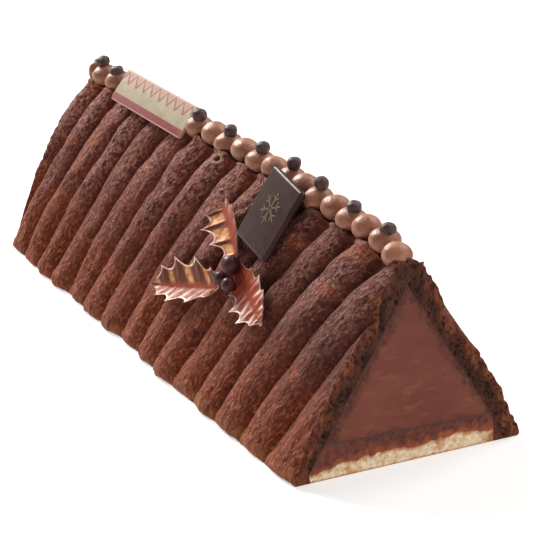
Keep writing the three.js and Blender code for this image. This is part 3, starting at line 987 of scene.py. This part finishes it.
def lean_on_log(place, lean_degrees, turn):
    return (
        Matrix.Translation(Vector(place) * mm)
        @ Matrix.Rotation(math.pi / 2 - math.radians(lean_degrees), 4, "X")
        @ Matrix.Rotation(turn, 4, "Z")
    )


def place_on_bar(axis):
    """One coordinate of the place on the piece, in millimetres."""
    def split(material):
        return add_node(material, "SeparateXYZ", vector=on_piece).outputs[axis]
    return joined("MULTIPLY", split, 1000.0)


def between(value, low, high, soft=0.12):
    """1 where the value lies between low and high, with a soft printed edge."""
    return joined("MULTIPLY", spread(value, low - soft, low + soft),
                  spread(value, high + soft, high - soft))


print_x, print_y = place_on_bar(0), place_on_bar(1)
half_wide, half_high = greeting_wide / 2, greeting_high / 2
triangle_width, triangle_height = 8.0, 5.4
border_margin = 0.9
zigzag = joined("PINGPONG", joined("ADD", print_x, 50 * triangle_width), triangle_width / 2)
below_top = joined("SUBTRACT", half_high - border_margin, print_y)
from_zigzag = joined("SUBTRACT", below_top,
                     joined("MULTIPLY", zigzag, 2 * triangle_height / triangle_width))
in_border = between(below_top, 0.0, triangle_height)
in_print = joined("MULTIPLY", between(print_y, -half_high + 0.5, half_high - 0.35),
                  between(print_x, -half_wide + 0.5, half_wide - 0.5))
white_chocolate = new_finish(
    "white_chocolate", 0.45, 0.3,
    (mottle(6), (0.34, 0.28, 0.165), (0.4, 0.335, 0.21)),
    [
        (joined("MULTIPLY", between(from_zigzag, -9.0, 0.0), in_border),
         (0.46, 0.25, 0.18), 0.75),
        (joined("MULTIPLY", between(from_zigzag, -4.3, -2.9, 0.3), in_border),
         (0.35, 0.075, 0.05), 0.85),
        (joined("MULTIPLY", between(from_zigzag, -1.25, 1.05, 0.3), in_border),
         (0.26, 0.035, 0.022), 0.97),
        (between(print_y, -half_high + 0.55, -half_high + 3.5), (0.215, 0.019, 0.022), 0.97),
        (joined("SUBTRACT", 1.0, in_print), (0.46, 0.25, 0.2), 1.0),
    ],
    bump=(mottle(2.5, 0.3, 0.7), 0.04),
)
greeting = rounded_bar("white_chocolate_bar", greeting_wide, greeting_high, greeting_thick,
                       0.35, white_chocolate)
put_in_place(greeting, "plaque_chocolate", "greeting_plaque",
             stand=lean_on_log((-63, -5.7, 81.2), 38, 0.008))


# ---- The square of dark chocolate ----
# Moulded dark chocolate with soft edges and a satin face. It lies on the fingers with its top
# against the balls, and has a small gold snowflake laid on it.

square_wide, square_high, square_thick = 27.0, 30.0, 2.7
wall_up = np.array([0.0, wall_run, 1.0]) / math.hypot(1, wall_run)


def on_front_wall(x, up, out):
    """A place on the front wall: along the log, up the slope, and out from the grooves."""
    return np.array([x, -wall_foot, 0.0]) + up * wall_up + out * out_of_wall


dark_chocolate = new_finish(
    "dark_chocolate", 0.38, 0.2,
    (mottle(9), (0.03, 0.011, 0.01), (0.05, 0.02, 0.018)),
    [(mottle(1.6, 0.5, 0.72, 4, seed=3), (0.07, 0.04, 0.038), 0.3)],
    bump=(mottle(5, 0.3, 0.7), 0.06),
)
square_bar = rounded_bar("dark_chocolate_bar", square_wide, square_high, square_thick,
                         1.2, dark_chocolate)
square = put_in_place(square_bar, "dark_chocolate", "chocolate_square",
                      stand=lean_on_log(on_front_wall(63.4, 76, 8.9), 30, math.radians(-8)))

gold = new_finish("dull_gold_leaf", 0.55, 0.3,
                  (mottle(0.9), (0.085, 0.058, 0.025), (0.17, 0.118, 0.05)))
flake_points, flake_faces = [], []
arm_start, arm_end, arm_width = 0.9, 6.2, 0.75
twig_at, twig_start, twig_end, twig_width = 3.4, 0.35, 2.3, 0.6
gold_low, gold_high = 0.02, 0.14


def ahead_at(angle):
    return np.array([math.cos(angle), math.sin(angle)])


def gold_stroke(start, end, width):
    """A thin raised stroke of gold with round ends, six points to an end."""
    angle = math.atan2(*(end - start)[::-1])
    rim = []
    for centre, facing in ((start, angle + math.pi / 2), (end, angle - math.pi / 2)):
        for number in range(6):
            rim.append(centre + width / 2 * ahead_at(facing + number * math.pi / 5))
    ring = len(flake_points) + np.arange(len(rim))
    for height in (gold_low, gold_high):
        flake_points.extend([(x, y, height) for x, y in rim])
    flake_faces.extend([ring.tolist(), (ring + len(rim)).tolist()])
    flake_faces.extend(band_between(ring, ring + len(rim)))


for arm in range(6):
    heading = math.radians(60 * arm + 30)
    ahead = ahead_at(heading)
    gold_stroke(arm_start * ahead, arm_end * ahead, arm_width)
    for side in (-1, 1):
        twig = ahead_at(heading + side * math.radians(50))
        gold_stroke(twig_at * ahead + twig_start * twig, twig_at * ahead + twig_end * twig,
                    twig_width)
flake_mesh = make_mesh("gold_snowflake", flake_points, flake_faces, [gold])
put_in_place(flake_mesh, "dark_chocolate",
             stand=square.matrix_world @ Matrix.Translation((0, 0.002, 0)))


# ---- The holly leaves ----
# Three leaves pressed from copper-coloured foil. Each is folded up along its midrib, with a
# hollow between each pair of side veins, and its spiny rim is turned up. The shine is painted:
# a gold reflection in the hollows with painted shade beside it, and painted highlights on the
# creases and on the rim.

# The gold is a painted reflection in the foil's hollows.
painted_gold_reflection = tint(mottle(2.4, 0.4, 0.62, seed=6), (0.56, 0.19, 0.06), (0.92, 0.46, 0.19))
leaf_foil = new_finish(
    "copper_foil", 0.45, 0.12,
    (mottle(4), (0.17, 0.045, 0.028), (0.25, 0.07, 0.04)),
    [
        (note("gold"), painted_gold_reflection, 1.0),
        # Painted shade beside the gold reflection.
        (note("dark"), (0.13, 0.036, 0.022), 0.85),
        (note("red"), (0.37, 0.058, 0.023), 0.92),
        # Painted highlights on the creases of the pleats.
        (note("painted_highlight"), (1.0, 0.78, 0.66), 0.95),
    ],
    bump=(mottle(1.8, 0.3, 0.7), 0.16),
)
# Painted highlight: the turned-up rim is coloured pale, where it catches the light.
foil_rim_highlight = new_finish("foil_rim_highlight", 0.35, 0.3,
                      (mottle(2.5, 0.35, 0.6), (0.5, 0.22, 0.13), (0.9, 0.7, 0.58)),
                      metallic=0.2)

steps_per_spine = 16
leaf_across = 13
leaf_stalk = 0.06
foil_thick = 0.4


def leaf_skin(length, left, right, widest, rise, spines, pleated, pale_from,
              gold_band=(0, 0.78), bend=0.0, taper=0.5):
    """Places on the upper side of a leaf lying along X, with notes of how each is coloured.

    Left and right each give the half width and how steeply that half is folded up. A pleated
    half is red, with painted highlights along its creases that come in over the part of its
    length in pale_from. A plain one has a painted gold reflection in a band between each two
    side veins, fading across it, and painted shade beside it.
    """
    skew = math.log(0.5) / math.log(widest + leaf_stalk)
    step = np.arange(steps_per_spine) / steps_per_spine
    along = np.concatenate([
        start + (end - start) * step for start, end in zip(spines[:-1], spines[1:])
    ] + [[1.0]])
    in_cell = np.append(np.tile(step, len(spines) - 1), 0.0)
    scooped = np.sin(math.pi * in_cell) ** 0.8
    body = np.sin(math.pi * np.minimum(leaf_stalk + along, 1) ** skew).clip(0) ** taper
    from_vein = np.minimum(in_cell, 1 - in_cell)
    band_start, band_end = gold_band
    rows = []
    colours = {"gold": [], "dark": [], "red": [], "painted_highlight": []}
    for across in np.linspace(-1, 1, 2 * leaf_across + 1):
        out = abs(across)
        half_width, fold = left if across > 0 else right
        in_pleats = ("left" if across > 0 else "right") in pleated
        half = np.maximum(0.4, half_width * body * (1 - 0.32 * scooped))
        share = half / half_width
        x = length * along + 0.09 * length * share * (1 - along) * out
        y = across * half + bend * along ** 2
        z = rise * along ** 2 + fold * half * out - 0.9 * scooped * share * out ** 1.4
        side_vein = 0.35 * np.exp(-(from_vein / 0.09) ** 2) * min(out * 3, 1)
        midrib = 0.4 * math.exp(-(out / 0.07) ** 2)
        turned_up = 0.5 * max(0, out - 0.88) / 0.12
        rows.append(np.stack([x, y, z + side_vein + (midrib + turned_up)], axis=1))

        slanted = in_cell - 0.22 * (out - 0.5)
        # Painted reflection: a gold band across each hollow, fading towards one side, with
        # painted shade beside it.
        reflection_share = eased(slanted, band_start - 0.06, band_start + 0.08) * (
            1 - eased(slanted, band_end - 0.06, band_end + 0.06))
        fading = 1 - 0.5 * eased(slanted, band_start + 0.1, band_end + 0.1)
        blade = min(out * 4, 1) * min((1 - out) * 7, 1) * (not in_pleats)
        # Painted highlights along the creases of the pleats.
        in_pleat = np.mod(2 * in_cell - 0.7 * out, 1)
        crease_highlight = 1.25 * np.exp(-((in_pleat - 0.5) / (0.1 + 0.1 * out)) ** 2)
        crease_highlight *= min(out * 1.5, 1) * eased(along, *pale_from) * in_pleats
        colours["gold"].append(reflection_share * fading * blade)
        colours["dark"].append((1 - reflection_share) * blade * 0.9)
        colours["red"].append(np.full_like(
            along, 0.8 if in_pleats else 0.9 * math.exp(-(out / 0.16) ** 2)))
        colours["painted_highlight"].append(crease_highlight)
    return np.array(rows), {name: np.array(amounts) for name, amounts in colours.items()}


def lay_leaf(number, base, heading_degrees, **shape):
    """Lays a leaf on the front wall, its stalk at base and headed so far up from along it."""
    skin, colours = leaf_skin(**shape)
    heading = math.radians(heading_degrees)
    axis = np.array([math.cos(heading), 0, 0]) + math.sin(heading) * wall_up
    laid = np.stack([axis, np.cross(out_of_wall, axis), out_of_wall])
    under = skin - np.array([0, 0, foil_thick])
    points = np.vstack([skin.reshape(-1, 3), under.reshape(-1, 3)]) @ laid + base
    top = np.arange(skin[..., 0].size).reshape(skin.shape[:2])
    low = top + top.size
    faces = quads_of(top) + quads_of(low) + band_between(rim_of(top), rim_of(low))
    at_rim = np.zeros((top.shape[0] - 1, top.shape[1] - 1), dtype=int)
    at_rim[[0, -1], :] = 1
    finish_of_face = at_rim.ravel().tolist() * 2
    finish_of_face += [1] * (len(faces) - len(finish_of_face))
    mesh = make_mesh(f"foil_leaf_{number}", points, faces, [leaf_foil, foil_rim_highlight],
                     finish_of_face, 50)
    for colour, amounts in colours.items():
        note_on_points(mesh, colour, np.tile(amounts.ravel(), 2))
    put_in_place(mesh, "leaf_foil", f"holly_leaf_{number}")


lay_leaf(1, on_front_wall(53.2, 54.15, 6.6), 144, length=31, left=(11, 0.42),
         right=(7.5, 0.42), widest=0.64, rise=0.5, spines=(0, 0.1, 0.36, 0.68, 0.89, 1),
         pleated=("right",), pale_from=(0.3, 1.3), bend=3.5, taper=0.36)
lay_leaf(2, on_front_wall(49, 41.65, 6.4), 198, length=46, left=(8, 0.5),
         right=(11.2, 0.42), widest=0.4, rise=3, spines=(0, 0.04, 0.26, 0.58, 0.8, 1),
         pleated=("left",), pale_from=(-0.1, 0.3), gold_band=(0.36, 0.7))
lay_leaf(3, on_front_wall(56, 52.15, 6.4), -21, length=35, left=(10.5, 0.25),
         right=(9, 0.42), widest=0.55, rise=0.8, spines=(0, 0.25, 0.48, 0.72, 0.9, 1),
         pleated=("left", "right"), pale_from=(0.3, 0.6))


# ---- The berries ----
# Three round berries of sugar under a dark lacquer. They sit where the leaves meet, are a
# little uneven from being rolled by hand, and have a small dimple each.

berry_lacquer = new_finish(
    "berry_lacquer", 0.45, 0.2,
    (mottle(3), (0.045, 0.009, 0.014), (0.09, 0.02, 0.028)),
    bump=(mottle(1.5, 0.3, 0.7), 0.05),
    coat_weight=0.1, coat_roughness=0.25,
)

berry_nudge = {
    1: np.zeros(3),
    2: np.array([-0.9, 0, 0]),
    3: np.array([0.6, 0, 0]) + 0.9 * wall_up,
}
for number, nudge in berry_nudge.items():
    middle, half = solid_size(f"holly_berry_{number}")
    middle += nudge

    def berry(direction):
        dimple = np.exp(-((1 - direction @ out_of_wall) / 0.05))
        lumps = unevenness(direction * 3 + 4.0 * number, 2.2, 240 + number)
        return middle + direction * (half[0] * (1 + 0.05 * lumps - 0.12 * dimple))[:, None]

    add_ball(f"lacquer_berry_{number}", "berry_gloss", f"holly_berry_{number}", berry_lacquer,
             40, 24, berry)


bpy.context.view_layer.update()
